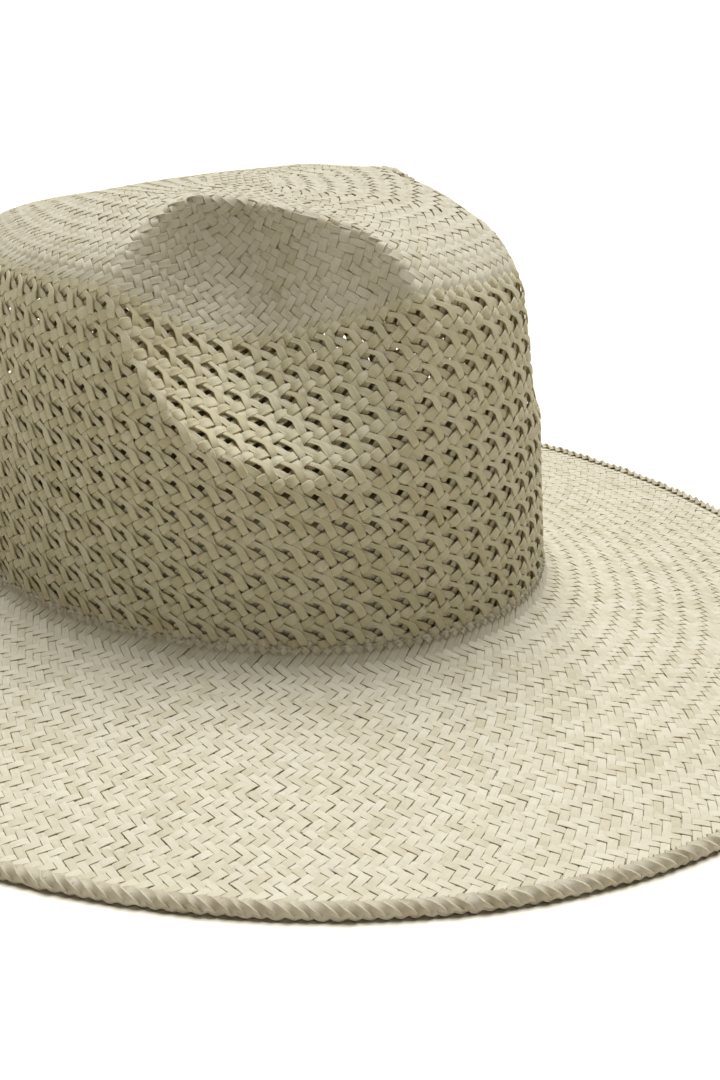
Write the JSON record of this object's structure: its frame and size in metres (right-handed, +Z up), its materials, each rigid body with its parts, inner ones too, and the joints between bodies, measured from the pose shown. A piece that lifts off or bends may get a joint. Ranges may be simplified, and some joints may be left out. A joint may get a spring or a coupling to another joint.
{
  "type": "panama hat",
  "caption": "Wide-brimmed woven straw hat with a pinched teardrop crown, vented crown wall, wired rolled brim edge, inner sweatband and a flip-up size label.",
  "frame": {"origin": "on the surface the brim rests on, under the middle of the brim", "axes": "+Z up through the crown, front of the hat towards -Y, wearer's right towards -X"},
  "size_m": [0.34, 0.3736, 0.126],
  "materials": {
    "straw_closed": "matt twisted-paper straw, close weave",
    "straw_vented": "matt twisted-paper straw, open weave",
    "straw_edge": "matt straw, folded and back-woven edge",
    "wire": "drawn spring wire",
    "ferrule": "crimped",
    "band_cloth": "ribbed cotton ribbon",
    "tape": "cotton tape",
    "thread": "sewing thread",
    "label_cloth": "blank woven satin label"
  },
  "bodies": {
    "hat": {"crown_tip": "straw_closed", "crown_wall": "straw_vented", "brim": "straw_closed", "brim_edge": "straw_edge", "brim_wire": "wire", "wire_ferrule": "ferrule", "sweatband": "band_cloth", "sweatband_splice": "tape", "sweatband_stitching": "thread", "label_thread": "thread"},
    "label": {"size_label": "label_cloth"}
  },
  "joints": [
    {"name": "label_flip", "type": "hinge", "parent": "hat", "child": "label", "pos_m": [0, 0.09558, 0.0412], "axis": [-1, 0, 0], "range_deg": [0, 150]}
  ]
}
